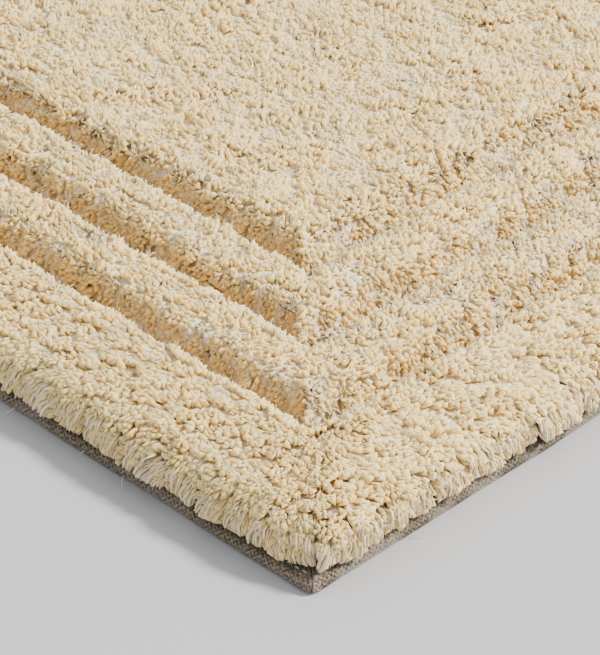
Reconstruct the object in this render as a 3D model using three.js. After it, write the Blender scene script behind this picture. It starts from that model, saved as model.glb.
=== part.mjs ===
// A tufted cotton bath mat, lying flat. A woven base cloth carries the pile, a coat of latex locks the
// tufts and keeps the back from slipping, and a cotton tape is folded round each edge and sewn through
// with a lockstitch. Three channels without tufts run round the mat and part the pile into an outer, a
// middle and an inner band round the centre field.
// Millimetres. X runs along the mat, Y across it, +Z up, and the origin is under the mat's centre, on the
// floor. Every band, tape and thread is four straight runs that meet in mitres at the corners.

import * as THREE from "three";

// The whole mat, over the edge tape.
const MAT_LENGTH = 800;
const MAT_WIDTH = 500;

// Left between pieces that touch on the real mat.
const CLEARANCE = 0.3;

// Base cloth, and the latex coat on its back.
const CLOTH_THICKNESS = 1.8;
const COAT_THICKNESS = 1.4;

// Edge tape, its raw edges turned under, folded round the cloth like a C that opens inwards.
const TAPE_THICKNESS = 1.4;
const TAPE_UPPER_LEG = 7;
const TAPE_LOWER_LEG = 13;
const TAPE_FOLD_RADIUS = 2.2;

// Lockstitch through both legs of the tape, drawn in by its tension until it lies flush.
const THREAD_DIAMETER = 0.6;
const STITCH_INSET = 4.2;
const THREAD_SIDES = 8;

// Pile. A band is as wide as it is just under its shoulders, and a channel fills the space between two.
const PILE_HEIGHT = 17.3;
const OUTER_BAND_WIDTH = 50;
const NARROW_BAND_WIDTH = 24.5;
const CHANNEL_WIDTH = 11;
const CHANNEL_FOOT_WIDTH = 7;
const SHOULDER_RADIUS = 6;
const EDGE_BULGE = 1.5;
const ARC_STEPS = 5;

// Levels, worked out upwards from the floor.
const coatTop = Math.max(COAT_THICKNESS, TAPE_THICKNESS);
const clothBottom = coatTop + CLEARANCE;
const clothTop = clothBottom + CLOTH_THICKNESS;
const tapeBottom = coatTop - TAPE_THICKNESS;
const tapeTop = clothTop + CLEARANCE + TAPE_THICKNESS;
const pileFoot = clothTop + CLEARANCE;
const pileTop = pileFoot + PILE_HEIGHT;

// The tape's two folds keep a little flat between them.
const foldRadius = Math.min(TAPE_FOLD_RADIUS, 0.45 * (tapeTop - tapeBottom));

// A channel's wall leans outwards by this much from its foot to its shoulder.
const channelLean = (CHANNEL_WIDTH - CHANNEL_FOOT_WIDTH) / 2;

// A mitred end is drawn back along its run, so that two ends at a corner stay CLEARANCE apart.
const mitreSetback = CLEARANCE / Math.SQRT2;

// A stitch groove holds its thread with its clearance all round, and the thread is flush at the mouth.
const grooveHalf = THREAD_DIAMETER / 2 + CLEARANCE;
const grooveDepth = THREAD_DIAMETER + CLEARANCE;

const PILE = { color: 0xe6d6b8, roughness: 0.95, metalness: 0 };
const CLOTH = { color: 0xcdbf9f, roughness: 0.9, metalness: 0 };
const TAPE = { color: 0xada294, roughness: 0.9, metalness: 0 };
const THREAD = { color: 0xbcb1a2, roughness: 0.7, metalness: 0 };
const LATEX = { color: 0xe3dcc8, roughness: 0.6, metalness: 0 };

const mat = new THREE.Group();

function addPiece(name, geometry, finish) {
  const piece = new THREE.Mesh(geometry, new THREE.MeshStandardMaterial(finish));
  piece.name = name;
  mat.add(piece);
  return piece;
}

// A flat layer under the pile, `inset` in from the mat's outline on every side.
function addLayer(name, inset, bottom, thickness, finish) {
  const geometry = new THREE.BoxGeometry(MAT_LENGTH - 2 * inset, MAT_WIDTH - 2 * inset, thickness);
  const layer = addPiece(name, geometry, finish);
  layer.position.z = bottom + thickness / 2;
}

// One side's run of a section drawn in (distance in from the mat's edge, height), with mitred ends. The
// run lies along X and its mat edge is at -Y.
function mitredRun(section, halfRun, halfAcross) {
  const geometry = new THREE.ExtrudeGeometry(section, {
    depth: 2,
    bevelEnabled: false,
    curveSegments: ARC_STEPS,
  });
  geometry.translate(0, 0, -1);
  const inwards = new THREE.Vector3(0, 1, 0);
  const upwards = new THREE.Vector3(0, 0, 1);
  const along = new THREE.Vector3(1, 0, 0);
  geometry.applyMatrix4(new THREE.Matrix4().makeBasis(inwards, upwards, along));
  const points = geometry.getAttribute("position");
  for (let i = 0; i < points.count; i += 1) {
    const inset = points.getY(i);
    const end = Math.sign(points.getX(i));
    points.setX(i, end * (halfRun - inset - mitreSetback));
    points.setY(i, inset - halfAcross);
  }
  return geometry;
}

// The same section on all four sides, as four separate pieces.
function addFourSides(name, section, finish) {
  const sides = [
    { side: "front", turn: 0, halfRun: MAT_LENGTH / 2, halfAcross: MAT_WIDTH / 2 },
    { side: "right", turn: Math.PI / 2, halfRun: MAT_WIDTH / 2, halfAcross: MAT_LENGTH / 2 },
    { side: "back", turn: Math.PI, halfRun: MAT_LENGTH / 2, halfAcross: MAT_WIDTH / 2 },
    { side: "left", turn: -Math.PI / 2, halfRun: MAT_WIDTH / 2, halfAcross: MAT_LENGTH / 2 },
  ];
  for (const { side, turn, halfRun, halfAcross } of sides) {
    const run = addPiece(`${name}_${side}`, mitredRun(section, halfRun, halfAcross), finish);
    run.rotation.z = turn;
  }
}

// The tape's C, with a groove on each face where the stitches draw the tape in.
function tapeSection() {
  const slotTop = tapeTop - TAPE_THICKNESS;
  const slotBottom = tapeBottom + TAPE_THICKNESS;
  const section = new THREE.Shape();
  section.moveTo(TAPE_LOWER_LEG, tapeBottom);
  section.lineTo(TAPE_LOWER_LEG, slotBottom);
  section.lineTo(TAPE_THICKNESS, slotBottom);
  section.lineTo(TAPE_THICKNESS, slotTop);
  section.lineTo(TAPE_UPPER_LEG, slotTop);
  section.lineTo(TAPE_UPPER_LEG, tapeTop);
  section.lineTo(STITCH_INSET + grooveHalf, tapeTop);
  section.lineTo(STITCH_INSET + grooveHalf, tapeTop - grooveDepth);
  section.lineTo(STITCH_INSET - grooveHalf, tapeTop - grooveDepth);
  section.lineTo(STITCH_INSET - grooveHalf, tapeTop);
  section.absarc(foldRadius, tapeTop - foldRadius, foldRadius, Math.PI / 2, Math.PI, false);
  section.absarc(foldRadius, tapeBottom + foldRadius, foldRadius, Math.PI, 1.5 * Math.PI, false);
  section.lineTo(STITCH_INSET - grooveHalf, tapeBottom);
  section.lineTo(STITCH_INSET - grooveHalf, tapeBottom + grooveDepth);
  section.lineTo(STITCH_INSET + grooveHalf, tapeBottom + grooveDepth);
  section.lineTo(STITCH_INSET + grooveHalf, tapeBottom);
  section.closePath();
  return section;
}

// A thread lying in the tape's groove, its middle at that height.
function threadSection(height) {
  const section = new THREE.Shape();
  for (let i = 0; i < THREAD_SIDES; i += 1) {
    const angle = (2 * Math.PI * (i + 0.5)) / THREAD_SIDES;
    const inset = STITCH_INSET + (THREAD_DIAMETER / 2) * Math.cos(angle);
    const level = height + (THREAD_DIAMETER / 2) * Math.sin(angle);
    if (i === 0) section.moveTo(inset, level);
    else section.lineTo(inset, level);
  }
  section.closePath();
  return section;
}

// The outer band grows from just inside the tape and flops out over it, a little past the mat's edge.
function outerBandSection(innerShoulder) {
  const foot = TAPE_UPPER_LEG + CLEARANCE;
  const overTape = tapeTop + CLEARANCE;
  const outerShoulder = -EDGE_BULGE;
  const section = new THREE.Shape();
  section.moveTo(foot, pileFoot);
  section.lineTo(innerShoulder + channelLean, pileFoot);
  section.lineTo(innerShoulder, pileTop - SHOULDER_RADIUS);
  section.absarc(innerShoulder - SHOULDER_RADIUS, pileTop - SHOULDER_RADIUS, SHOULDER_RADIUS,
    0, Math.PI / 2, false);
  section.absarc(outerShoulder + SHOULDER_RADIUS, pileTop - SHOULDER_RADIUS, SHOULDER_RADIUS,
    Math.PI / 2, Math.PI, false);
  section.lineTo(0, overTape);
  section.lineTo(foot, overTape);
  section.closePath();
  return section;
}

// A band between two channels, from its outer to its inner shoulder.
function narrowBandSection(outerShoulder, innerShoulder) {
  const section = new THREE.Shape();
  section.moveTo(outerShoulder - channelLean, pileFoot);
  section.lineTo(innerShoulder + channelLean, pileFoot);
  section.lineTo(innerShoulder, pileTop - SHOULDER_RADIUS);
  section.absarc(innerShoulder - SHOULDER_RADIUS, pileTop - SHOULDER_RADIUS, SHOULDER_RADIUS,
    0, Math.PI / 2, false);
  section.absarc(outerShoulder + SHOULDER_RADIUS, pileTop - SHOULDER_RADIUS, SHOULDER_RADIUS,
    Math.PI / 2, Math.PI, false);
  section.closePath();
  return section;
}

// The centre field: a block whose layers follow the leaning wall and then the round shoulder.
function centreFieldGeometry(shoulder) {
  const outline = [{ inset: shoulder - channelLean, level: pileFoot }];
  for (let i = 0; i <= ARC_STEPS; i += 1) {
    const angle = ((Math.PI / 2) * i) / ARC_STEPS;
    outline.push({
      inset: shoulder + SHOULDER_RADIUS * (1 - Math.cos(angle)),
      level: pileTop - SHOULDER_RADIUS * (1 - Math.sin(angle)),
    });
  }
  const steps = outline.length - 1;
  const geometry = new THREE.BoxGeometry(2, 2, steps, 1, 1, steps);
  const points = geometry.getAttribute("position");
  for (let i = 0; i < points.count; i += 1) {
    const { inset, level } = outline[Math.round(points.getZ(i) + steps / 2)];
    const halfLength = MAT_LENGTH / 2 - inset;
    const halfWidth = MAT_WIDTH / 2 - inset;
    points.setXYZ(i, points.getX(i) * halfLength, points.getY(i) * halfWidth, level);
  }
  return geometry;
}

// Where the bands and the channels between them start, as distances in from the mat's edge.
const outerChannel = OUTER_BAND_WIDTH;
const middleBand = outerChannel + CHANNEL_WIDTH;
const middleChannel = middleBand + NARROW_BAND_WIDTH;
const innerBand = middleChannel + CHANNEL_WIDTH;
const innerChannel = innerBand + NARROW_BAND_WIDTH;
const centreField = innerChannel + CHANNEL_WIDTH;

const coatInset = TAPE_LOWER_LEG + CLEARANCE;
const clothInset = TAPE_THICKNESS + CLEARANCE;

addLayer("anti_slip_coat", coatInset, coatTop - COAT_THICKNESS, COAT_THICKNESS, LATEX);
addLayer("base_cloth", clothInset, clothBottom, CLOTH_THICKNESS, CLOTH);

addFourSides("edge_tape", tapeSection(), TAPE);
addFourSides("needle_thread", threadSection(tapeTop - THREAD_DIAMETER / 2), THREAD);
addFourSides("bobbin_thread", threadSection(tapeBottom + THREAD_DIAMETER / 2), THREAD);

addFourSides("outer_pile", outerBandSection(outerChannel), PILE);
addFourSides("middle_pile", narrowBandSection(middleBand, middleChannel), PILE);
addFourSides("inner_pile", narrowBandSection(innerBand, innerChannel), PILE);
addPiece("centre_pile", centreFieldGeometry(centreField), PILE);

export default mat;
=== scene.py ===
import math

import bmesh
import bpy
import numpy as np
from mathutils import Matrix, Vector, noise


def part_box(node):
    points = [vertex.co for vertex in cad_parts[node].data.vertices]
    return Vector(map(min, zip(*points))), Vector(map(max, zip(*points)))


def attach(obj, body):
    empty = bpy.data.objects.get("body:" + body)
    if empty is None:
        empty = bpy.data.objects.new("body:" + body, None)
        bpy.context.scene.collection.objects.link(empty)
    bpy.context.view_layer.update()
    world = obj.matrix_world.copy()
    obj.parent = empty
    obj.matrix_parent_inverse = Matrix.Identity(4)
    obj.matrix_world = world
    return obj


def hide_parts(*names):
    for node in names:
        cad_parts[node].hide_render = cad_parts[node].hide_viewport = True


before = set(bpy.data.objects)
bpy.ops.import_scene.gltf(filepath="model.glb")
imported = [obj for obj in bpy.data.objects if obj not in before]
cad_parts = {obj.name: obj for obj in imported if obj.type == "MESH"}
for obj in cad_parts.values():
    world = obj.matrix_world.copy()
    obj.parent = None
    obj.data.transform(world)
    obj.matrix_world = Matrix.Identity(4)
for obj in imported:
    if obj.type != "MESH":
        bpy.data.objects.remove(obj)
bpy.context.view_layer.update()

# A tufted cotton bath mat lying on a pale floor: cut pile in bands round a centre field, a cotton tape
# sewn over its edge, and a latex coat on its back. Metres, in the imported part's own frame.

MM = 0.001

# ---------------------------------------------------------------- sizes from the frame

half_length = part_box("edge_tape_right")[1].x
half_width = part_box("edge_tape_back")[1].y
tape_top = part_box("edge_tape_front")[1].z
pile_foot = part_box("centre_pile")[0].z
pile_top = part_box("centre_pile")[1].z

# The pile's shape between foot and top, as the frame's bands have it.
SHOULDER_RADIUS = 6 * MM
WALL_LEAN = 2 * MM
EDGE_BULGE = 1.5 * MM
TAPE_LEG = 7 * MM


def inset_of(node, corner):
    """How far in from the mat's front edge a front node's lowest (0) or highest (1) side lies."""
    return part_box(node)[corner].y + half_width


# Each side runs along X with its edge towards -Y, and is turned into place about the mat's centre.
SIDES = {
    "front": (0.0, half_length, half_width),
    "right": (math.pi / 2, half_width, half_length),
    "back": (math.pi, half_length, half_width),
    "left": (-math.pi / 2, half_width, half_length),
}

rng = np.random.default_rng(7)


# ---------------------------------------------------------------- camera, floor and light

CAMERA_FROM_CORNER = Vector((-0.552, -0.491, 0.5925))
CAMERA_ELEVATION = math.radians(33.43)
CAMERA_HEADING = math.radians(42.26)
CAMERA_ROLL = math.radians(2.69)
CAMERA_LENS = 160.65

KEY_POWER = 525
KEY_COLOUR = (1.0, 0.955, 0.88)
KEY_SIZE = 1.0
KEY_PLACE = (2.0, -2.5, 3.1)
SKY_COLOUR = (0.94, 0.975, 1.0, 1.0)
SKY_STRENGTH = 1.25
FLOOR_HALF_SIZE = 6


def add_camera():
    """Looks down over the mat's front left corner."""
    data = bpy.data.cameras.new("camera")
    data.lens = CAMERA_LENS
    data.clip_start = 0.05
    camera = bpy.data.objects.new("camera", data)
    bpy.context.scene.collection.objects.link(camera)
    turn = Matrix.Rotation(CAMERA_HEADING - math.pi / 2, 4, "Z")
    tilt = Matrix.Rotation(math.pi / 2 - CAMERA_ELEVATION, 4, "X")
    roll = Matrix.Rotation(CAMERA_ROLL, 4, "Z")
    corner = Vector((-half_length, -half_width, 0))
    camera.matrix_world = Matrix.Translation(corner + CAMERA_FROM_CORNER) @ turn @ tilt @ roll
    bpy.context.scene.camera = camera


def linear(code):
    """An sRGB hex colour as linear RGBA."""
    parts = [int(code[i:i + 2], 16) / 255 for i in (1, 3, 5)]
    return [c / 12.92 if c <= 0.04045 else ((c + 0.055) / 1.055) ** 2.4 for c in parts] + [1.0]


def node(tree, kind, settings=(), inputs=(), links=()):
    """Adds a shader node, sets its properties and inputs, and links sockets to its inputs."""
    made = tree.nodes.new(kind)
    for name, value in dict(settings).items():
        setattr(made, name, value)
    for name, value in dict(inputs).items():
        made.inputs[name].default_value = value
    for name, socket in dict(links).items():
        tree.links.new(socket, made.inputs[name])
    return made


def new_material(name, **inputs):
    """A material with its Principled shader, whose constant values are set on its own sockets."""
    material = bpy.data.materials.new(name)
    material.use_nodes = True
    tree = material.node_tree
    shader = tree.nodes["Principled BSDF"]
    for socket, value in inputs.items():
        shader.inputs[socket.replace("_", " ")].default_value = value
    return material, tree, shader


def add_area_light(name, power, colour, size, place, aim):
    """A round soft light at one place, turned towards another."""
    data = bpy.data.lights.new(name, "AREA")
    data.energy = power
    data.color = colour
    data.shape = "DISK"
    data.size = size
    light = bpy.data.objects.new(name, data)
    light.location = place
    light.rotation_euler = (Vector(aim) - Vector(place)).to_track_quat("-Z", "Y").to_euler()
    bpy.context.scene.collection.objects.link(light)


def add_studio():
    """A plain pale floor, a soft, slightly warm key light from the mat's right, and an even, cooler sky."""
    bm = bmesh.new()
    bmesh.ops.create_grid(bm, x_segments=1, y_segments=1, size=FLOOR_HALF_SIZE)
    mesh = bpy.data.meshes.new("floor")
    bm.to_mesh(mesh)
    bm.free()
    floor = bpy.data.objects.new("floor", mesh)
    bpy.context.scene.collection.objects.link(floor)
    mesh.materials.append(new_material("painted_floor", Roughness=0.6, Base_Color=linear("#acacaf"))[0])
    add_area_light("key", KEY_POWER, KEY_COLOUR, KEY_SIZE, KEY_PLACE, (0, 0, 0))
    world = bpy.data.worlds.new("studio")
    world.use_nodes = True
    background = world.node_tree.nodes["Background"]
    background.inputs["Color"].default_value = SKY_COLOUR
    background.inputs["Strength"].default_value = SKY_STRENGTH
    bpy.context.scene.world = world


# ---------------------------------------------------------------- materials

# A pile yarn shows this many plies round it, this deep, and light reaches this far into its cotton.
PLIES = 9
PLY_RELIEF = 0.18 * MM
LIGHT_DEPTH = 3.0 * MM
# Packed yarn: how wide its ends are, and how deep the lines between them.
END_WIDTH = 2.1 * MM
END_RELIEF = 1.2 * MM
# Latex: how far apart the rows of back stitches stand under it, how broad its paler patches and pinholes
# are, and how deep its skin is shaped.
COAT_ROW_PITCH = 4 * MM
COAT_PATCH = 16.7 * MM
PINHOLE = 1.1 * MM
COAT_RELIEF = 0.6 * MM
# Sewing thread: how far apart its plies show, and how deep the twist is.
TWIST_PITCH = 0.45 * MM
TWIST_RELIEF = 0.1 * MM


def cotton_pile(name, root, middle, tip, glow):
    """Undyed cotton yarn, plied and cut: matt, creamy where it has opened out at the tips, with painted shade
    down among the roots where less light reaches the fibre. Light glows through the thicker yarns."""
    material, tree, shader = new_material(
        name, Roughness=0.95, Sheen_Weight=0.1, Sheen_Roughness=0.5,
        Specular_IOR_Level=0.2, Subsurface_Weight=glow, Subsurface_Radius=(1.0, 0.93, 0.8),
        Subsurface_Scale=LIGHT_DEPTH)
    along = node(tree, "ShaderNodeUVMap", {"uv_map": "strand"})
    axes = node(tree, "ShaderNodeSeparateXYZ", links={0: along.outputs[0]})
    tone = node(tree, "ShaderNodeAttribute", {"attribute_name": "tone"})
    # The plies go round a yarn, wandering as they run along it.
    place = node(tree, "ShaderNodeCombineXYZ",
                 links={"X": axes.outputs["X"], "Y": axes.outputs["Y"], "Z": tone.outputs["Fac"]})
    stretch = node(tree, "ShaderNodeVectorMath", {"operation": "MULTIPLY"}, {1: (5.0, 1.6, 60.0)},
                   {0: place.outputs[0]})
    wander = node(tree, "ShaderNodeTexNoise", inputs={"Scale": 1.0, "Detail": 1.0, "Roughness": 0.5},
                  links={"Vector": stretch.outputs[0]})
    turn = node(tree, "ShaderNodeMath", {"operation": "MULTIPLY_ADD"}, {1: 2 * math.pi * PLIES},
                {0: axes.outputs["X"]})
    sway = node(tree, "ShaderNodeMath", {"operation": "MULTIPLY"}, {1: 14.0}, {0: wander.outputs["Fac"]})
    tree.links.new(sway.outputs[0], turn.inputs[2])
    plies = node(tree, "ShaderNodeMath", {"operation": "SINE"}, links={0: turn.outputs[0]})
    # The colour goes from root to tip, darker at the root as painted shade, and a little back towards the
    # root's between two plies, as painted shade in the grooves between them.
    shadow = node(tree, "ShaderNodeMath", {"operation": "MULTIPLY_ADD"}, {1: 0.07},
                  {0: plies.outputs[0], 2: axes.outputs["Y"]})
    height = node(tree, "ShaderNodeValToRGB", links={0: shadow.outputs[0]})
    height.color_ramp.elements[0].position = 0.08
    height.color_ramp.elements[0].color = linear(root)
    height.color_ramp.elements[1].position = 0.65
    height.color_ramp.elements[1].color = linear(tip)
    height.color_ramp.elements.new(0.34).color = linear(middle)
    shade = node(tree, "ShaderNodeMix", {"data_type": "RGBA", "blend_type": "MULTIPLY"}, {0: 1.0},
                 {6: height.outputs[0]})
    # No two yarns took up quite the same colour.
    tones = node(tree, "ShaderNodeValToRGB", links={0: tone.outputs["Fac"]})
    tones.color_ramp.elements[0].color = linear("#efe4cb")
    tones.color_ramp.elements[1].color = linear("#ffffff")
    tree.links.new(tones.outputs[0], shade.inputs[7])
    tree.links.new(shade.outputs[2], shader.inputs["Base Color"])
    bump = node(tree, "ShaderNodeBump", inputs={"Strength": 0.45, "Distance": PLY_RELIEF},
                links={"Height": plies.outputs[0]})
    tree.links.new(bump.outputs[0], shader.inputs["Normal"])
    return material


def packed_yarn():
    """The same yarn packed tight under its tips, where light has gone through a good deal of it: a cream
    painted for that light, in the ends of yarns, with painted shade in the darker lines between them."""
    material, tree, shader = new_material("packed_cotton_yarn", Roughness=0.95, Specular_IOR_Level=0.2)
    place = node(tree, "ShaderNodeTexCoord")
    ends = node(tree, "ShaderNodeTexVoronoi", {"feature": "F1"}, {"Scale": 1 / END_WIDTH},
                {"Vector": place.outputs["Object"]})
    # Painted shade: the colour darkens from the middle of each yarn end towards the lines between the ends.
    ramp = node(tree, "ShaderNodeValToRGB", links={0: ends.outputs["Distance"]})
    ramp.color_ramp.elements[0].position = 0.25
    ramp.color_ramp.elements[0].color = linear("#e9ddc0")
    ramp.color_ramp.elements[1].position = 0.75
    ramp.color_ramp.elements[1].color = linear("#c4b699")
    tree.links.new(ramp.outputs[0], shader.inputs["Base Color"])
    bump = node(tree, "ShaderNodeBump", {"invert": True}, {"Strength": 1.0, "Distance": END_RELIEF},
                {"Height": ends.outputs["Distance"]})
    tree.links.new(bump.outputs[0], shader.inputs["Normal"])
    return material


def woven_cloth(name, light, dark, thread, depth):
    """Plain-woven cotton: matt threads this far apart, over and under each other, with painted shade where a
    thread passes under, and darker where its speckled relief lies lower. Its map is in metres, along and
    across the cloth."""
    material, tree, shader = new_material(
        name, Roughness=0.9, Sheen_Weight=0.15, Sheen_Roughness=0.5, Specular_IOR_Level=0.25)
    place = node(tree, "ShaderNodeUVMap", {"uv_map": "cloth"})
    axes = node(tree, "ShaderNodeSeparateXYZ", links={0: place.outputs[0]})
    waves = []
    for axis in ("X", "Y"):
        turn = node(tree, "ShaderNodeMath", {"operation": "MULTIPLY"}, {1: math.pi / thread},
                    {0: axes.outputs[axis]})
        waves.append(node(tree, "ShaderNodeMath", {"operation": "SINE"}, links={0: turn.outputs[0]}))
    weave = node(tree, "ShaderNodeMath", {"operation": "MULTIPLY"},
                 links={0: waves[0].outputs[0], 1: waves[1].outputs[0]})
    speckle = node(tree, "ShaderNodeTexNoise", {"noise_dimensions": "3D"},
                   {"Scale": 0.9 / thread, "Detail": 2.0, "Roughness": 0.7}, {"Vector": place.outputs[0]})
    mixed = node(tree, "ShaderNodeMath", {"operation": "MULTIPLY_ADD"}, {1: 0.1},
                 {0: weave.outputs[0], 2: speckle.outputs["Fac"]})
    # The colour follows the same relief as the bump, darker where the cloth lies lower: painted shade.
    ramp = node(tree, "ShaderNodeValToRGB", links={0: mixed.outputs[0]})
    ramp.color_ramp.elements[0].position = 0.33
    ramp.color_ramp.elements[0].color = linear(dark)
    ramp.color_ramp.elements[1].position = 0.66
    ramp.color_ramp.elements[1].color = linear(light)
    tree.links.new(ramp.outputs[0], shader.inputs["Base Color"])
    bump = node(tree, "ShaderNodeBump", inputs={"Strength": 0.8, "Distance": depth},
                links={"Height": mixed.outputs[0]})
    tree.links.new(bump.outputs[0], shader.inputs["Normal"])
    return material


def latex_coat_material():
    """Sprayed latex, dried: a soft satin skin with pinholes, over the ridges of the tufting rows."""
    material, tree, shader = new_material(
        "sprayed_latex", Roughness=0.55, IOR=1.52, Specular_IOR_Level=0.4)
    place = node(tree, "ShaderNodeTexCoord")
    cloud = node(tree, "ShaderNodeTexNoise",
                 inputs={"Scale": 1 / COAT_PATCH, "Detail": 4.0, "Roughness": 0.6},
                 links={"Vector": place.outputs["Object"]})
    ramp = node(tree, "ShaderNodeValToRGB", links={0: cloud.outputs["Fac"]})
    ramp.color_ramp.elements[0].position = 0.3
    ramp.color_ramp.elements[0].color = linear("#d6cdb8")
    ramp.color_ramp.elements[1].position = 0.7
    ramp.color_ramp.elements[1].color = linear("#e9e2d1")
    tree.links.new(ramp.outputs[0], shader.inputs["Base Color"])
    grain = node(tree, "ShaderNodeTexNoise", inputs={"Scale": 1 / PINHOLE, "Detail": 3.0, "Roughness": 0.6},
                 links={"Vector": place.outputs["Object"]})
    # The rows of back stitches show through the skin. A wave's bands are pi / (10 * scale) apart.
    rows = node(tree, "ShaderNodeTexWave", {"wave_type": "BANDS", "bands_direction": "Y"},
                {"Scale": math.pi / (10 * COAT_ROW_PITCH), "Distortion": 1.2, "Detail": 2.0,
                 "Detail Scale": 2.0}, {"Vector": place.outputs["Object"]})
    relief = node(tree, "ShaderNodeMath", {"operation": "MULTIPLY_ADD"}, {1: 0.35},
                  {0: grain.outputs["Fac"], 2: rows.outputs["Fac"]})
    bump = node(tree, "ShaderNodeBump", inputs={"Strength": 0.7, "Distance": COAT_RELIEF},
                links={"Height": relief.outputs[0]})
    tree.links.new(bump.outputs[0], shader.inputs["Normal"])
    return material


def sewing_thread():
    """Three-ply cotton sewing thread: a slight sheen, with its twist showing as slanting plies."""
    material, tree, shader = new_material(
        "cotton_sewing_thread", Roughness=0.7, Sheen_Weight=0.2, Base_Color=linear("#cfc6b6"),
        Specular_IOR_Level=0.35)
    place = node(tree, "ShaderNodeTexCoord")
    twist = node(tree, "ShaderNodeTexWave", {"wave_type": "BANDS", "bands_direction": "DIAGONAL"},
                 {"Scale": math.pi / (10 * TWIST_PITCH), "Distortion": 1.0},
                 {"Vector": place.outputs["Object"]})
    bump = node(tree, "ShaderNodeBump", inputs={"Strength": 0.7, "Distance": TWIST_RELIEF},
                links={"Height": twist.outputs["Fac"]})
    tree.links.new(bump.outputs[0], shader.inputs["Normal"])
    return material


# ---------------------------------------------------------------- pieces


def finish_piece(name, mesh, material, replaced):
    """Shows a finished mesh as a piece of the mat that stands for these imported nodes."""
    piece = bpy.data.objects.new(name, mesh)
    bpy.context.scene.collection.objects.link(piece)
    mesh.materials.append(material)
    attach(piece, "root")
    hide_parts(*replaced)
    return piece


# ---------------------------------------------------------------- the yarn of a tuft

def strand_shape(levels, sides):
    """One closed strand: a ring at each of these levels, (share of its length, width), with a point at the
    root and one at the tip. Returned as its corners, (across, across, share), and its faces."""
    bm = bmesh.new()
    bmesh.ops.create_circle(bm, cap_ends=True, segments=sides, radius=levels[0][1])
    root = bm.faces[:][0]
    for v in root.verts:
        v.co.z = levels[0][0]
    top = root
    for (share, width), (_, below) in zip(levels[1:], levels[:-1]):
        raised = bmesh.ops.extrude_face_region(bm, geom=[top], use_keep_orig=True)["geom"]
        top = [g for g in raised if isinstance(g, bmesh.types.BMFace)][0]
        for v in top.verts:
            v.co.x *= width / below
            v.co.y *= width / below
            v.co.z = share
    # A single ring has a face on either side of it.
    if top is root:
        top = root.copy(verts=False)
    for face, share in ((root, 0.0), (top, 1.0)):
        point = bmesh.ops.poke(bm, faces=[face])["verts"][0]
        point.co = (0, 0, share)
    bmesh.ops.remove_doubles(bm, verts=bm.verts, dist=1e-6)
    bmesh.ops.triangulate(bm, faces=bm.faces)
    bmesh.ops.recalc_face_normals(bm, faces=bm.faces)
    bm.verts.index_update()
    corners = np.array([v.co[:] for v in bm.verts])
    faces = np.array([[v.index for v in f.verts] for f in bm.faces])
    bm.free()
    return corners, faces


def strand_map(corners, faces):
    """Round the strand and along it, both from 0 to 1, for each corner of each face."""
    angle = np.arctan2(corners[:, 1], corners[:, 0]) / (2 * math.pi) % 1.0
    on_axis = np.hypot(corners[:, 0], corners[:, 1]) < 1e-6
    around = angle[faces]
    pole = on_axis[faces]
    ring_high = np.where(pole, 0, around).max(1, keepdims=True)
    around = np.where((ring_high - around > 0.5) & ~pole, around + 1, around)
    ring_mean = (around * ~pole).sum(1, keepdims=True) / (~pole).sum(1, keepdims=True)
    around = np.where(pole, ring_mean, around)
    around = (around - around.min()) / (around.max() - around.min())
    return np.stack([around, corners[faces][:, :, 2]], -1)


def bezier(start, pull, end, t):
    """Points and directions on quadratic curves, one curve a row and one share a column."""
    a, b, c = start[:, None], pull[:, None], end[:, None]
    t = t[..., None]
    points = (1 - t) ** 2 * a + 2 * t * (1 - t) * b + t ** 2 * c
    ways = (1 - t) * (b - a) + t * (c - b)
    return points, ways / np.linalg.norm(ways, axis=-1, keepdims=True)


def unit(v):
    """Vectors made one long."""
    return v / np.linalg.norm(v, axis=-1, keepdims=True)


# Each strand of a bundle lies this far round from the last, which packs them evenly in a disc.
GOLDEN_ANGLE = 2.39996
# A strand twists this far along its length. The outer strands of a bundle are this much shorter.
STRAND_TWIST = 0.9
OUTER_SHORTER = 0.08
# How much strands differ, as a spread about the mean: their place in the bundle, thickness, length and
# tone. A yarn on its own differs only a little in length.
PLACE_SPREAD = 0.18
THICKNESS_SPREAD = 0.08
LENGTH_SPREAD = 0.035
LONE_LENGTH_SPREAD = 0.02
TONE_SPREAD = 0.2
# The cells of the map for baking have this much space round each strand, as a share of the cell.
CELL_SPACE = 0.06


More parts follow.
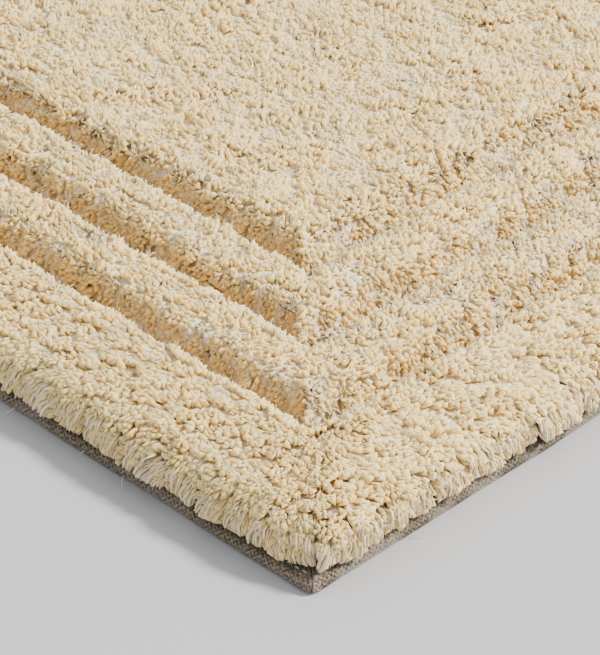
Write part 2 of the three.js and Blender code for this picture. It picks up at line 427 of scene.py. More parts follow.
def tufts_mesh(name, tufts, levels, sides, strands, bundle, thickness, lowest=0.4 * MM):
    """Bundles of strands bent along each tuft's curve. A tuft has a root, a bend, a tip and the direction
    of its row; its strands are packed in a disc, draw together at the root and towards the tip, and end
    unevenly. None goes below the lowest level."""
    corners, faces = strand_shape(levels, sides)
    lone = strands == 1
    count = len(tufts["root"]) * strands
    own = np.repeat(np.arange(len(tufts["root"])), strands)
    root, bend, tip, row = (tufts[k][own] for k in ("root", "bend", "tip", "row"))
    share = np.tile((np.arange(strands) + 0.5) / strands, len(tufts["root"]))
    spin = np.repeat(rng.uniform(0, 2 * math.pi, len(tufts["root"])), strands)
    angle = spin + np.tile(np.arange(strands) * GOLDEN_ANGLE, len(tufts["root"])) + rng.normal(0, 0.25, count)
    reach = bundle * tufts["size"][own] * np.sqrt(share) * rng.normal(1, PLACE_SPREAD, count)
    length = 1 - OUTER_SHORTER * share + rng.normal(0, LONE_LENGTH_SPREAD if lone else LENGTH_SPREAD, count)
    t = corners[None, :, 2] * length[:, None]
    centre, way = bezier(root, bend, tip, t)
    across = unit(np.cross(way, row[:, None]))
    over = np.cross(way, across)
    # A bundle opens out over its lower half and closes again over its last two fifths.
    gather = 0.3 + 0.75 * np.clip(t / 0.5, 0, 1) - 0.45 * np.clip((t - 0.6) / 0.4, 0, 1)
    twist = angle[:, None] + STRAND_TWIST * t
    side = np.cos(twist)[..., None] * across + np.sin(twist)[..., None] * over
    centre = centre + side * (reach[:, None] * gather)[..., None]
    width = (thickness * tufts["size"][own] * rng.normal(1, THICKNESS_SPREAD, count))[:, None, None]
    flat = rng.uniform(0, 2 * math.pi, count)[:, None]
    c, s = np.cos(flat), np.sin(flat)
    x = (corners[None, :, 0] * c - corners[None, :, 1] * s)[..., None]
    y = (corners[None, :, 0] * s + corners[None, :, 1] * c)[..., None]
    points = centre + width * (x * across + y * over)
    points[..., 2] = np.maximum(points[..., 2], lowest)

    mesh = bpy.data.meshes.new(name)
    index = (faces[None] + (np.arange(count) * len(corners))[:, None, None]).reshape(-1, 3)
    mesh.vertices.add(count * len(corners))
    mesh.vertices.foreach_set("co", points.astype(np.float32).ravel())
    mesh.loops.add(index.size)
    mesh.loops.foreach_set("vertex_index", index.ravel().astype(np.int32))
    mesh.polygons.add(len(index))
    mesh.polygons.foreach_set("loop_start", (np.arange(len(index)) * 3).astype(np.int32))
    mesh.update(calc_edges=True)
    mesh.shade_smooth()
    own_map = strand_map(corners, faces)
    strand_layer = mesh.uv_layers.new(name="strand")
    strand_layer.uv.foreach_set("vector", np.tile(own_map.ravel(), count).astype(np.float32))
    columns = math.ceil(math.sqrt(count))
    cell = np.stack([np.arange(count) % columns, np.arange(count) // columns], -1)[:, None, None]
    bake = (cell + CELL_SPACE + (1 - 2 * CELL_SPACE) * own_map[None]) / columns
    bake_layer = mesh.uv_layers.new(name="OFBake")
    bake_layer.uv.foreach_set("vector", bake.astype(np.float32).ravel())
    tone = tufts["tone"][own] + rng.normal(0, 0 if lone else TONE_SPREAD, count)
    layer = mesh.attributes.new("tone", "FLOAT", "POINT")
    layer.data.foreach_set("value", np.repeat(np.clip(tone, 0, 1), len(corners)).astype(np.float32))
    return mesh


# ---------------------------------------------------------------- how the pile lies

# Yarns along a row, rows, and the bundles of the fringe.
TUFT_PITCH = 2.4 * MM
ROW_PITCH = 2.15 * MM
FRINGE_PITCH = 4.2 * MM
# Yarns gather into tufts of this size, by this share of their way to its middle. The tips of a tuft rise
# over the next one by this share of how far its yarns reach.
TUFT_SIZE = 5.2 * MM
GATHER = 0.14
SHINGLE = 0.25
# What the tufts' places and shared numbers are drawn from, so that any yarn can tell which tuft it is in.
HASH_X = (127.1, 269.5, 74.7, 113.5, 271.9, 246.1)
HASH_Y = (311.7, 183.3, 173.9, 12.9, 101.3, 78.2)
HASH_SIZE = 43758.5453
# How deep under the pile's surface a yarn's root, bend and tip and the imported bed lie.
ROOT_DEPTH = 4.5 * MM
BEND_DEPTH = -0.5 * MM
TIP_DEPTH = 0.6 * MM
BED_DEPTH = 1.6 * MM
# The share of yarns with a wisp, and how far its bend and tip are from the yarn's own: any way, and up.
WISP_SHARE = 0.35
WISP_OFF = {"bend": (0.7 * MM, 0.9 * MM), "tip": (1.3 * MM, 1.1 * MM)}
# How far from a mitre the yarns start to turn, the fall of the outer edge, and the mat's rounded corner.
FAN = 30 * MM
RIM_RADIUS = 11 * MM
PILE_CORNER = 26 * MM
# How far the yarns of a band reach back from their tips: over its outer edge, its top and its inner edge.
OUTER_REACHES = (9 * MM, 6 * MM, 0.5 * MM)
NARROW_REACHES = (1 * MM, 2 * MM, -1 * MM)
CENTRE_REACHES = (1 * MM, 1.5 * MM, 0)
# How far a yarn is from its even place along its row and across it, as shares of the pitches.
ROW_JITTER = 0.35
CROSS_JITTER = 0.16
# The mean and spread of a yarn's size, and its mean tone.
YARN_SIZE = (1, 0.2)
YARN_TONE = 0.6
# How much tufts differ, and the yarns within a tuft, in tone, reach, sway, height and lean.
YARN_TONE_SPREAD = (0.18, 0.12)
REACH_SPREAD = (1.3 * MM, 0.5 * MM)
SWAY_SPREAD = (1.5 * MM, 0.5 * MM)
LIFT_SPREAD = (0.5 * MM, 0.12 * MM)
CENTRE_LIFT_SPREAD = (0.55 * MM, 0.12 * MM)
CENTRE_LEAN_SPREADS = ((2.2 * MM, 0.6 * MM), (2.0 * MM, 0.6 * MM))
# The pile isn't even. Patches of these sizes change how far it reaches, sways and wanders, how high it
# stands and its tone, by these amounts.
REACH_PATCH = (19 * MM, 0.4)
SWAY_PATCH = (14 * MM, 2.4 * MM)
WANDER_PATCHES = ((24 * MM, 1.0 * MM), (9 * MM, 0.8 * MM))
LIFT_PATCHES = ((17 * MM, 1.4 * MM), (8 * MM, 0.7 * MM))
CENTRE_LIFT_PATCHES = ((22 * MM, 1.7 * MM), (8 * MM, 0.8 * MM))
CENTRE_LEAN_PATCH = (24 * MM, 3 * MM)
CENTRE_TONE_PATCH = (15 * MM, 0.15)
# They lower the pile by no more than this.
LOWEST_LIFT = -0.9 * MM
# A piece of pile that would have more triangles than this is made in two.
MOST_TRIANGLES = 190000
# The pile spreads at its foot into the channels, which narrow to a V. Those along the long sides have
# nearly closed over as well, where the pile has fallen into them.
FOOT_SPREAD = 2.4 * MM
OVERHANG = {"front": 1.2 * MM, "right": 0.0, "back": 1.2 * MM, "left": 0.0}
# There the bands fall away gently towards their inner edge.
INNER_RADIUS = {"front": 13 * MM, "right": 6 * MM, "back": 13 * MM, "left": 6 * MM}
TAPE_CORNER = 5 * MM


class Outline:
    """The section of a band of pile, from its outer foot over its top to its inner foot. `at` gives, for
    distances along it, how far in from the mat's edge each point lies, its height, and how far its normal
    turns from up: towards the mat's middle, or the other way where it is below zero."""

    def __init__(self, outer, inner, low_out, outer_radius, outer_lean, inner_radius):
        turn = np.linspace(0, math.pi / 2, 9)
        inset = [[outer - outer_lean, outer]]
        level = [[low_out, pile_top - outer_radius]]
        angle = [[-math.pi / 2] * 2]
        inset.append(outer + outer_radius * (1 - np.cos(turn)))
        level.append(pile_top - outer_radius * (1 - np.sin(turn)))
        angle.append(turn - math.pi / 2)
        inset.append(inner - inner_radius * (1 - np.sin(turn)))
        level.append(pile_top - inner_radius * (1 - np.cos(turn)))
        angle.append(turn)
        inset.append([inner + WALL_LEAN + FOOT_SPREAD])
        level.append([pile_foot])
        angle.append([math.pi / 2])
        self.inset, self.level, self.angle = (np.concatenate(v) for v in (inset, level, angle))
        steps = np.hypot(np.diff(self.inset), np.diff(self.level))
        self.along = np.concatenate([[0], np.cumsum(steps)])
        self.total = self.along[-1]

    def at(self, q, depth=0.0):
        q = np.clip(q, 0, self.total)
        angle = np.interp(q, self.along, self.angle)
        inset = np.interp(q, self.along, self.inset) - depth * np.sin(angle)
        level = np.interp(q, self.along, self.level) - depth * np.cos(angle)
        return inset, level, angle


def smooth_noise(x, y, scale, seed):
    """A gentle noise from about -1 to 1 over the mat, a different one for each seed."""
    z = seed * 17.3
    return np.array([noise.noise((a / scale, b / scale, z)) for a, b in zip(x, y)]) * 1.6


def patched(x, y, patch, seed):
    """How much a patch, a size and an amount, changes the pile at each place."""
    scale, amount = patch
    return smooth_noise(x, y, scale, seed) * amount


def gathered(run, across):
    """Draws yarns together into tufts about TUFT_SIZE across. Also gives four numbers with a spread of
    about 1 that all the yarns of a tuft share, and how far each lies behind its tuft's middle."""
    cell_x, cell_y = np.floor(run / TUFT_SIZE), np.floor(across / TUFT_SIZE)
    best = np.full(run.shape, np.inf)
    middle = np.zeros((2, len(run)))
    shared = np.zeros((4, len(run)))
    for dx in (-1, 0, 1):
        for dy in (-1, 0, 1):
            cx, cy = cell_x + dx, cell_y + dy
            draws = np.sin(np.outer(HASH_X, cx) + np.outer(HASH_Y, cy)) * HASH_SIZE
            draws -= np.floor(draws)
            # A tuft's middle lies anywhere in its cell but close to the cell's sides.
            spot = (np.stack([cx, cy]) + 0.15 + 0.7 * draws[:2]) * TUFT_SIZE
            away = (spot[0] - run) ** 2 + (spot[1] - across) ** 2
            nearer = away < best
            best[nearer] = away[nearer]
            middle[:, nearer] = spot[:, nearer]
            shared[:, nearer] = (draws[2:, nearer] - 0.5) * math.sqrt(12)
    behind = across - middle[1]
    return run + GATHER * (middle[0] - run), across - GATHER * behind, shared, behind


def round_corner(x, y, size, roundness=0.75):
    """Draws points in from the mat's sharp corners towards a rounded outline."""
    dx = np.abs(x) - (half_length - size)
    dy = np.abs(y) - (half_width - size)
    inside = (dx > 0) & (dy > 0)
    far = np.hypot(np.maximum(dx, 1e-9), np.maximum(dy, 1e-9))
    shrink = np.where(inside, 1 - roundness + roundness * np.maximum(dx, dy) / far, 1)
    nx = np.where(inside, np.sign(x) * (half_length - size + dx * shrink), x)
    ny = np.where(inside, np.sign(y) * (half_width - size + dy * shrink), y)
    return nx, ny


def placed(side, run, inset, level, size):
    """Points given along a side and in from the mat's edge, as points on the mat, whose corner is rounded
    over that size."""
    turn, _, half_across = SIDES[side]
    c, s = math.cos(turn), math.sin(turn)
    y = inset - half_across
    x, y = round_corner(c * run - s * y, s * run + c * y, size)
    return np.stack([x, y, level], -1)


def side_tufts(side, outline, rows, pitch, reach_out, reach_top, reach_in, fill=0):
    """The tufts of one side of a band, row by row over its outline. Their tips lie on the outline, and the
    yarn comes from further up the slope and from below the surface. `fill` adds yarns at a row's ends."""
    turn, half_run, _ = SIDES[side]
    seed = round(turn * 4) + round(outline.inset[0] / MM)
    q, r = [], []
    for row in rows:
        n = int(2 * half_run / pitch)
        r.append((np.arange(n) + 0.5 + rng.uniform(-ROW_JITTER, ROW_JITTER, n) + rng.uniform(-0.5, 0.5))
                 * 2 * half_run / n - half_run)
        q.append(row + rng.normal(0, CROSS_JITTER * pitch, n))
        ends = half_run - outline.at(row)[0] - rng.uniform(0, 0.5, 2 * fill) * pitch
        r.append(ends * np.repeat([-1, 1], fill))
        q.append(np.full(2 * fill, row))
    q, r = np.concatenate(q), np.concatenate(r)
    # Each side has its own tufts, which are longer across where the yarns lie flatter.
    shift = 1.0 + 0.137 * seed
    stretch = 1 + 0.12 * reach_top / MM
    r, q, shared, behind = gathered(r + shift, q / stretch)
    r, q = r - shift, q * stretch
    inset, _, angle = outline.at(q)
    from_mitre = half_run - inset - np.abs(r)
    keep = from_mitre > -0.5 * MM
    q, r, inset, angle, from_mitre = q[keep], r[keep], inset[keep], angle[keep], from_mitre[keep]
    shared, behind = shared[:, keep], behind[keep]
    n = len(q)
    facing = np.sin(angle)
    reach = np.where(facing < 0, reach_top + (reach_out - reach_top) * -facing,
                     reach_top + (reach_in - reach_top) * facing)
    reach = reach * (1 + patched(r, q, REACH_PATCH, 8 + seed))
    reach += differing(shared[0], REACH_SPREAD)
    sway = patched(r, q, SWAY_PATCH, 12 + seed) + differing(shared[1], SWAY_SPREAD)
    # Towards a mitre the yarns turn, until they lie along it.
    turned = np.clip(1 - from_mitre / FAN, 0, 1)
    sway = sway * (1 - 0.6 * turned) - np.sign(r) * reach * turned
    broad, fine = WANDER_PATCHES
    wander = patched(r, q * 0, broad, 1 + seed) + patched(r, q, fine, 2 + seed)
    broad, fine = LIFT_PATCHES
    lift = patched(r, q, broad, 4 + seed) + patched(r, q, fine, 5 + seed)
    # The tips of a tuft ride up over the roots of the next one out.
    between_tufts, within_tuft = LIFT_SPREAD
    lift += shared[2] * between_tufts - SHINGLE * reach_top * behind / TUFT_SIZE
    lift = np.maximum(lift, LOWEST_LIFT) + rng.normal(0, within_tuft, n)

    def point(share, depth):
        inset, level, _ = outline.at(q + reach * share, depth - lift * (1 - share))
        return placed(side, r + sway * share, inset + wander, level, PILE_CORNER)

    return {
        "tip": point(0.0, TIP_DEPTH), "bend": point(0.5, BEND_DEPTH), "root": point(1.0, ROOT_DEPTH),
        "row": np.tile([math.cos(turn), math.sin(turn), 0.0], (n, 1)),
        "tone": YARN_TONE + differing(shared[3], YARN_TONE_SPREAD), "size": yarn_sizes(n),
    }


def differing(of_tuft, spreads):
    """How far each yarn is from the mean: by its tuft's own number, and by a draw for itself."""
    between_tufts, within_tuft = spreads
    return of_tuft * between_tufts + rng.normal(0, within_tuft, len(of_tuft))


def yarn_sizes(count):
    """A size for each of so many yarns, as a share of the usual one."""
    return np.clip(rng.normal(*YARN_SIZE, count), 0.6, 1.5)


def choose(tufts, mask):
    """Some of the tufts."""
    return {k: v[mask] for k, v in tufts.items()}


# What stands in the pile: the rings of a strand, its sides, how many strands a bundle has, the bundle's
# radius, and a strand's.
FRINGE_STRANDS = ([(0.3, 0.8), (0.65, 1.0), (0.93, 0.9)], 3, 10, 1.8 * MM, 0.45 * MM)
THICK_YARN = ([(0.25, 0.8), (0.8, 1.0)], 3, 1, 0.0, 1.6 * MM)
WISP = ([(0.72, 1.0)], 3, 1, 0.0, 0.3 * MM)
THICK_YARN_TRIANGLES = 12


def add_tufts(name, tufts, material, replaced, kind=THICK_YARN):
    """A piece of pile."""
    mesh = tufts_mesh(name, tufts, *kind)
    return finish_piece(name, mesh, material, replaced)


def add_wisps(name, tufts, material, replaced):
    """Single threads that have worked loose from some of the yarns and stand a little above the pile."""
    loose = choose(tufts, rng.random(len(tufts["tone"])) < WISP_SHARE)
    for end, (off, up) in WISP_OFF.items():
        loose[end] = loose[end] + rng.normal(0, off, (len(loose[end]), 3)) + [0, 0, up]
    return add_tufts(name, loose, material, replaced, WISP)


def even_rows(length, pitch):
    """Where rows about this far apart lie over a length."""
    n = max(2, round(length / pitch))
    return (np.arange(n) + 0.5) * length / n


def swept_run(name, side, inset, level, stations, uneven, size, material, replaced):
    """One side's run of a closed section, as a bar with mitred ends. uneven(run) gives how far each point of
    the section is moved in from the edge and up at one station, whose points lie at these places along the
    side. The cloth's own map runs along the side and round the section."""
    half_run = SIDES[side][1]
    around = np.concatenate([[0], np.cumsum(np.hypot(np.diff(inset), np.diff(level)))])
    bm = bmesh.new()
    bmesh.ops.create_circle(bm, cap_ends=True, segments=len(inset), radius=1)
    face = bm.faces[:][0]
    maps = {}
    for i, station in enumerate(stations):
        if i > 0:
            grown = bmesh.ops.extrude_face_region(bm, geom=[face], use_keep_orig=i == 1)["geom"]
            face = [g for g in grown if isinstance(g, bmesh.types.BMFace)][0]
        run = station * (half_run - inset)
        moved_in, moved_up = uneven(run)
        points = placed(side, run, inset + moved_in, level + moved_up, size)
        for vert, point, along, share in zip(face.verts, points, run, around):
            vert.co = point
            maps[vert] = (along, share)
    bmesh.ops.recalc_face_normals(bm, faces=bm.faces)
    layer = bm.loops.layers.uv.new("cloth")
    for loop in (loop for f in bm.faces for loop in f.loops):
        loop[layer].uv = maps[loop.vert]
    mesh = bpy.data.meshes.new(name)
    bm.to_mesh(mesh)
    bm.free()
    mesh.shade_smooth()
    return finish_piece(name, mesh, material, replaced)


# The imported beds: the lumps in a side's and in the centre's, how far apart a side's stations are, and how
# finely the centre's is divided.
BED_LUMPS = (6 * MM, 0.5 * MM)
CENTRE_BED_LUMPS = (6 * MM, 0.8 * MM)
BED_STATION = 7 * MM
CENTRE_BED_GRID = (90, 40)


def add_bed(name, side, outline, foot_out, foot_in, material, replaced):
    """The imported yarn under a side's tips, too tight to tell apart: a lumpy bar."""
    half_run = SIDES[side][1]
    q = np.linspace(0, outline.total, 22)
    inset, level, angle = outline.at(q, BED_DEPTH)
    inset = np.clip(inset, foot_out, foot_in)

    def lumps(run):
        lump = patched(run, q, BED_LUMPS, 50 + side_seed(side))
        return lump * np.sin(angle), lump * np.cos(angle)

    stations = np.linspace(-1, 1, round(2 * half_run / BED_STATION))
    return swept_run(name, side, inset, level, stations, lumps, PILE_CORNER, material,
                     replaced)


def side_seed(side):
    """A number of its own for each side."""
    return list(SIDES).index(side)


def add_band(band, outlines, foot_out, reaches, pile, thread, bed, fringed=False):
    """The four sides of a ring of pile, with long loose yarns over its outer edge if it has a fringe."""
    for side in SIDES:
        outline = outlines[side]
        node_name = f"{band}_{side}"
        add_bed(f"{node_name}_bed", side, outline, foot_out, outline.inset[-1], bed, [node_name])
        tufts = side_tufts(side, outline, even_rows(outline.total, ROW_PITCH), TUFT_PITCH, *reaches)
        if fringed:
            rim_rows = even_rows(outline.total, FRINGE_PITCH)
            over_the_tape = rim_rows[rim_rows < 0.9 * RIM_RADIUS]
            rim = side_tufts(side, outline, over_the_tape, FRINGE_PITCH, *reaches, fill=3)
            add_tufts(f"{node_name}_fringe", rim, thread, [node_name], FRINGE_STRANDS)
        run = tufts["tip"][:, 0] * tufts["row"][:, 0] + tufts["tip"][:, 1] * tufts["row"][:, 1]
        if len(run) * THICK_YARN_TRIANGLES > MOST_TRIANGLES:
            add_tufts(f"{node_name}_a", choose(tufts, run < 0), pile, [node_name])
            add_tufts(f"{node_name}_b", choose(tufts, run >= 0), pile, [node_name])
        else:
            add_tufts(f"{node_name}_tufts", tufts, pile, [node_name])
        add_wisps(f"{node_name}_wisps", tufts, thread, [node_name])


def joined(parts):
    """Several sets of tufts as one."""
    return {key: np.concatenate([part[key] for part in parts]) for key in parts[0]}


# The centre field: how far in its shoulders' rows go past the curve, how far in its outline reaches, and
# how far its tufts' cells are from those of the bands.
CENTRE_BORDER = 2 * MM
CENTRE_INSIDE = 90 * MM
CENTRE_SHIFT = 1.0


def centre_shoulder(side, foot):
    """The centre field's tufts at one side: up from the channel and over the shoulder."""
    outline = Outline(foot + WALL_LEAN - OVERHANG[side], foot + CENTRE_INSIDE, pile_foot, SHOULDER_RADIUS,
                      WALL_LEAN + FOOT_SPREAD, SHOULDER_RADIUS)
    border = outline.along[np.argmax(outline.angle >= 0)] + CENTRE_BORDER
    return side_tufts(side, outline, even_rows(border, ROW_PITCH), TUFT_PITCH, *CENTRE_REACHES)


def centre_middle(foot):
    """The centre field's tufts inside its shoulders, in rows along the mat."""
    edge = foot + WALL_LEAN + SHOULDER_RADIUS + CENTRE_BORDER
    wide, deep = half_length - edge, half_width - edge
    gx, gy = np.meshgrid(even_rows(2 * wide, TUFT_PITCH) - wide, even_rows(2 * deep, ROW_PITCH) - deep)
    x = gx.ravel() + rng.uniform(-ROW_JITTER, ROW_JITTER, gx.size) * TUFT_PITCH
    y = gy.ravel() + rng.normal(0, CROSS_JITTER, gy.size) * ROW_PITCH
    x, y, shared, _ = gathered(x + CENTRE_SHIFT, y + CENTRE_SHIFT)
    x, y = x - CENTRE_SHIFT, y - CENTRE_SHIFT
    n = x.size
    broad, fine = CENTRE_LIFT_PATCHES
    z = pile_top + patched(x, y, broad, 30) + patched(x, y, fine, 31)
    between_tufts, within_tuft = CENTRE_LIFT_SPREAD
    z = np.maximum(z + shared[2] * between_tufts, pile_top + LOWEST_LIFT) + rng.normal(0, within_tuft, n)
    lean_x = patched(x, y, CENTRE_LEAN_PATCH, 33) + differing(shared[0], CENTRE_LEAN_SPREADS[0])
    lean_y = patched(x, y, CENTRE_LEAN_PATCH, 36) + differing(shared[1], CENTRE_LEAN_SPREADS[1])
    return {
        "tip": np.stack([x, y, z - TIP_DEPTH], -1),
        "bend": np.stack([x + 0.5 * lean_x, y + 0.5 * lean_y, z - BEND_DEPTH], -1),
        "root": np.stack([x + lean_x, y + lean_y, np.full(n, pile_top - ROOT_DEPTH)], -1),
        "row": np.tile([1.0, 0, 0], (n, 1)),
        "tone": (YARN_TONE + differing(shared[3], YARN_TONE_SPREAD)
                 + patched(x, y, CENTRE_TONE_PATCH, 39)),
        "size": yarn_sizes(n),
    }


def add_centre(pile, thread, bed):
    """The centre field: rows across the middle, and a shoulder down to the channel on each side."""
    foot = inset_of("centre_pile", 0)
    shoulders = [centre_shoulder(side, foot) for side in SIDES]
    tufts = joined([*shoulders, centre_middle(foot)])
    for i, (left, front) in enumerate(((True, True), (False, True), (True, False), (False, False))):
        mask = ((tufts["tip"][:, 0] < 0) == left) & ((tufts["tip"][:, 1] < 0) == front)
        add_tufts(f"centre_pile_quarter_{i + 1}", choose(tufts, mask), pile, ["centre_pile"])
    add_wisps("centre_pile_wisps", tufts, thread, ["centre_pile"])
    add_centre_bed(foot, bed)


def add_centre_bed(foot, bed):
    """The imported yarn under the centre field's tips."""
    inset = foot + WALL_LEAN + BED_DEPTH
    wide, deep = half_length - inset + OVERHANG["left"], half_width - inset + OVERHANG["front"]
    bm = bmesh.new()
    across, down = CENTRE_BED_GRID
    bmesh.ops.create_grid(bm, x_segments=across, y_segments=down, size=1)
    top = bm.faces[:]
    drop = SHOULDER_RADIUS - BED_DEPTH
    scale, amount = CENTRE_BED_LUMPS
    for v in bm.verts:
        x, y = v.co.x * wide, v.co.y * deep
        near = min(wide - abs(x), deep - abs(y))
        rounded = drop * (1 - min(near / drop, 1.0)) ** 2
        lump = noise.noise((x / scale, y / scale, 3.0)) * amount
        v.co = (x, y, pile_top - BED_DEPTH - rounded + lump)
    grown = bmesh.ops.extrude_face_region(bm, geom=top, use_keep_orig=True)["geom"]
    spread = WALL_LEAN + FOOT_SPREAD
    for v in (g for g in grown if isinstance(g, bmesh.types.BMVert)):
        v.co = (v.co.x * (1 + spread / wide), v.co.y * (1 + spread / deep), pile_foot)
    bmesh.ops.recalc_face_normals(bm, faces=bm.faces)
    mesh = bpy.data.meshes.new("centre_pile_bed")
    bm.to_mesh(mesh)
    bm.free()
    mesh.shade_smooth()
    finish_piece("centre_pile_bed", mesh, bed, ["centre_pile"])


# ---------------------------------------------------------------- cloth, coat, tape and stitches

# The tape: how far in its lower leg goes, its thickness, the radius of its fold, how round its ends are,
# and where its stations lie: close together near a mitre, then this far apart.
TAPE_LOWER_LEG = 13 * MM
TAPE_THICKNESS = 1.4 * MM
TAPE_FOLD = 2.4 * MM
TAPE_END = 0.5 * MM
TAPE_MITRE_STATIONS = np.array([0.35, 1.2, 2.4, 4.0]) * MM
TAPE_STATION = 5 * MM
# The tape's long waves, in from the edge and up, and its fine ripple.
TAPE_WAVE_IN = (38 * MM, 0.45 * MM)
TAPE_WAVE_UP = (21 * MM, 0.25 * MM)
TAPE_RIPPLE_SIZE = 5 * MM
TAPE_RIPPLE_IN = 0.18 * MM
TAPE_RIPPLE_UP = 0.15 * MM
# The seam: how far in it lies, the half width and depth of the groove that it draws under and over the
# tape, how far before the mitre it ends, and its stitches.
SEAM_INSET = 4.2 * MM
GROOVE_UNDER = (1.5 * MM, 0.3 * MM)
GROOVE_OVER = (1.3 * MM, 0.5 * MM)
SEAM_END = 1.5 * MM
STITCH_LENGTH = 3.4 * MM
THREAD_RADIUS = 0.3 * MM
# A stitch and a loose thread, as the kinds of yarn above, and how far apart the loose threads are.
STITCH = ([(0.06, 0.8), (0.5, 1.0), (0.94, 0.8)], 4, 1, 0.0, THREAD_RADIUS)
LOOSE_THREAD = ([(0.2, 1.0), (0.4, 1.0), (0.6, 1.0), (0.8, 1.0), (0.95, 0.8)], 4, 1, 0.0, 0.14 * MM)
LOOSE_THREAD_SPACING = 110 * MM
# How finely the ground cloth and the coat are divided.
LAYER_GRID = (40, 25)


def add_slab(name, node_name, material):
    """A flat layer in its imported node's box, as a grid given its thickness."""
    low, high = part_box(node_name)
    bm = bmesh.new()
    bmesh.ops.create_grid(bm, x_segments=LAYER_GRID[0], y_segments=LAYER_GRID[1], size=0.5)
    size = high - low
    bmesh.ops.scale(bm, vec=(size.x, size.y, 1), verts=bm.verts)
    bmesh.ops.translate(bm, vec=((low.x + high.x) / 2, (low.y + high.y) / 2, low.z), verts=bm.verts)
    layer = bm.loops.layers.uv.new("cloth")
    for face in bm.faces:
        for loop in face.loops:
            loop[layer].uv = loop.vert.co.xy
    grown = bmesh.ops.extrude_face_region(bm, geom=bm.faces[:], use_keep_orig=True)["geom"]
    bmesh.ops.translate(bm, vec=(0, 0, size.z), verts=[g for g in grown if isinstance(g, bmesh.types.BMVert)])
    bmesh.ops.recalc_face_normals(bm, faces=bm.faces)
    mesh = bpy.data.meshes.new(name)
    bm.to_mesh(mesh)
    bm.free()
    return finish_piece(name, mesh, material, [node_name])


def tape_section():
    """The tape's folded section, from its lower leg's inner end round the mat's edge, drawn in a little
    where it is sewn: insets and levels."""
    fold = np.linspace(0, math.pi / 2, 5)
    half, depth = GROOVE_UNDER
    inset = [[TAPE_LOWER_LEG, SEAM_INSET + half, SEAM_INSET, SEAM_INSET - half]]
    level = [[0, 0, depth, 0]]
    inset.append(TAPE_FOLD * (1 - np.sin(fold)))
    level.append(TAPE_FOLD * (1 - np.cos(fold)))
    inset.append(TAPE_FOLD * (1 - np.cos(fold)))
    level.append(tape_top - TAPE_FOLD * (1 - np.sin(fold)))
    half, depth = GROOVE_OVER
    inset.append([SEAM_INSET - half, SEAM_INSET, SEAM_INSET + half, TAPE_LEG - TAPE_END, TAPE_LEG])
    level.append([tape_top, tape_top - depth, tape_top, tape_top, tape_top - TAPE_END])
    inset.append([TAPE_LEG, TAPE_THICKNESS, TAPE_THICKNESS, TAPE_LOWER_LEG])
    level.append([tape_top - TAPE_THICKNESS, tape_top - TAPE_THICKNESS, TAPE_THICKNESS, TAPE_THICKNESS])
    return np.concatenate(inset), np.concatenate(level)


def add_tape(side, material):
    """The tape on one side: a little wavy, as it follows the cloth's edge."""
    half_run = SIDES[side][1]
    inset, level = tape_section()

    def waves(run):
        seed = 70 + 3 * side_seed(side)
        ripple = smooth_noise(run, level, TAPE_RIPPLE_SIZE, seed + 1)
        moved_in = patched(run, run * 0, TAPE_WAVE_IN, seed) + TAPE_RIPPLE_IN * ripple
        moved_up = patched(run, run * 0, TAPE_WAVE_UP, seed + 2) + TAPE_RIPPLE_UP * ripple
        return moved_in * np.clip(1 - inset / TAPE_LEG, 0, 1), moved_up * level / tape_top

    ends = 1 - TAPE_MITRE_STATIONS / half_run
    middle = np.linspace(-1, 1, round(2 * half_run / TAPE_STATION))[1:-1]
    stations = np.concatenate([-ends, middle, ends[::-1]])
    return swept_run(f"edge_tape_{side}_cloth", side, inset, level, stations, waves, TAPE_CORNER, material,
                     [f"edge_tape_{side}"])


def lone_threads(root, bend, tip):
    """Single threads from root to tip, as tufts of one tone and size."""
    n = len(root)
    return {"root": root, "bend": bend, "tip": tip, "row": np.tile([0.0, 0.0, 1.0], (n, 1)),
            "tone": np.full(n, 0.5), "size": np.ones(n)}


def add_stitches(side, kind, level, dip, material):
    """One side's lockstitches: a short arch of thread for each, down through the tape at both ends."""
    reach = SIDES[side][1] - SEAM_INSET - SEAM_END
    n = round(2 * reach / STITCH_LENGTH)
    start = ((np.arange(n) / n) * 2 - 1) * reach
    length = 2 * reach / n
    flat = np.full(n, SEAM_INSET) + rng.normal(0, 0.08 * MM, n)
    points = [placed(side, start + share * length, flat, np.full(n, height), TAPE_CORNER)
              for share, height in ((0.03, level + dip), (0.5, level - dip), (0.97, level + dip))]
    mesh = tufts_mesh(f"{kind}_{side}_stitches", lone_threads(*points), *STITCH, lowest=0.0)
    return finish_piece(mesh.name, mesh, material, [f"{kind}_{side}"])


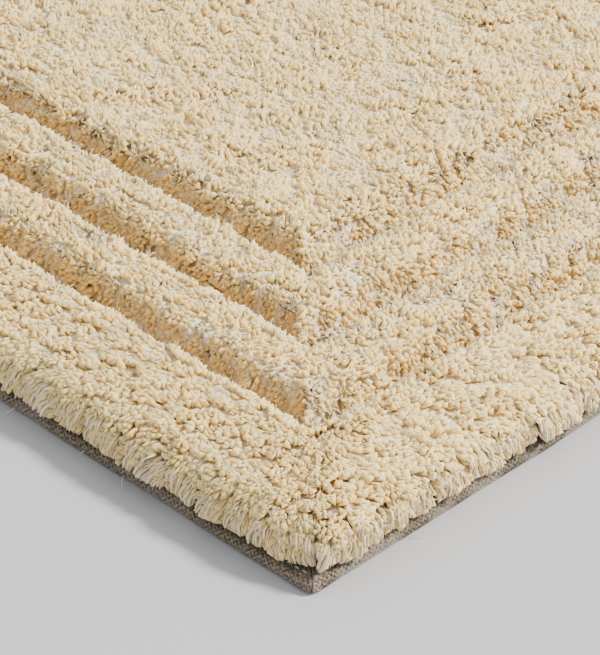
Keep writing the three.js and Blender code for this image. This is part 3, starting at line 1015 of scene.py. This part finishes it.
def add_loose_threads(material):
    """Ends of thread that have worked out of the tape here and there, and lie on the floor beside it."""
    parts = []
    for side in SIDES:
        half_run = SIDES[side][1]
        n = round(2 * half_run / LOOSE_THREAD_SPACING)
        run = rng.uniform(-0.97, 0.97, n) * half_run
        out = rng.uniform(1.5, 5, n) * MM
        drift = rng.normal(0, 3.5 * MM, n)
        # Each leaves the tape halfway up its edge, arches out and ends on the floor.
        spots = ((run, 0.6 * MM, 2.4 * MM), (run + 0.2 * drift, -0.7 * out, 2.6 * MM),
                 (run + drift, -out, 0.3 * MM))
        points = [placed(side, along, np.zeros(n) + inset, np.full(n, level), TAPE_CORNER)
                  for along, inset, level in spots]
        parts.append(lone_threads(*points))
    mesh = tufts_mesh("edge_tape_loose_threads", joined(parts), *LOOSE_THREAD, lowest=0.05 * MM)
    return finish_piece(mesh.name, mesh, material, [f"edge_tape_{side}" for side in SIDES])


def main():
    """The view, then the pile, the tape and its seam, and the layers below them."""
    add_camera()
    add_studio()
    # Each yarn runs from a darker colour at the root to a paler one at the tip: painted shade among the
    # roots.
    pile = cotton_pile("undyed_cotton_yarn", "#dfd3b6", "#f2d8a6", "#fad48d", 0.7)
    fringe = cotton_pile("undyed_cotton_thread", "#dbc197", "#f0dcb5", "#fbe9c8", 0.0)
    bed = packed_yarn()
    outer_in = inset_of("outer_pile_front", 1) - WALL_LEAN
    rims = {side: Outline(-EDGE_BULGE, outer_in + over, tape_top + 0.8 * MM, RIM_RADIUS, 0.0,
                          INNER_RADIUS[side]) for side, over in OVERHANG.items()}
    add_band("outer_pile", rims, TAPE_LEG + 1 * MM, OUTER_REACHES, pile, fringe, bed, fringed=True)
    for band in ("middle_pile", "inner_pile"):
        low, high = inset_of(f"{band}_front", 0), inset_of(f"{band}_front", 1)
        rings = {side: Outline(low + WALL_LEAN - over, high - WALL_LEAN + over, pile_foot, SHOULDER_RADIUS,
                               WALL_LEAN + FOOT_SPREAD, INNER_RADIUS[side])
                 for side, over in OVERHANG.items()}
        add_band(band, rings, low - FOOT_SPREAD, NARROW_REACHES, pile, fringe, bed)
    add_centre(pile, fringe, bed)
    # The tape's dark colour is painted shade where its weave lies lower.
    tape = woven_cloth("cotton_edge_tape", "#8b7c6a", "#332b23", 1.0 * MM, 0.8 * MM)
    thread = sewing_thread()
    for side in SIDES:
        add_tape(side, tape)
        add_stitches(side, "needle_thread", tape_top - 0.2 * MM, -0.8 * MM, thread)
        add_stitches(side, "bobbin_thread", THREAD_RADIUS, 0.8 * MM, thread)
    add_loose_threads(thread)
    # The ground cloth's dark colour is painted shade where its weave lies lower.
    ground = woven_cloth("cotton_ground_cloth", "#d3c9b3", "#a0957e", 1.4 * MM, 0.4 * MM)
    sheet = add_slab("base_cloth_sheet", "base_cloth", ground)
    coat = add_slab("anti_slip_coat_skin", "anti_slip_coat", latex_coat_material())
    low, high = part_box("base_cloth")


main()
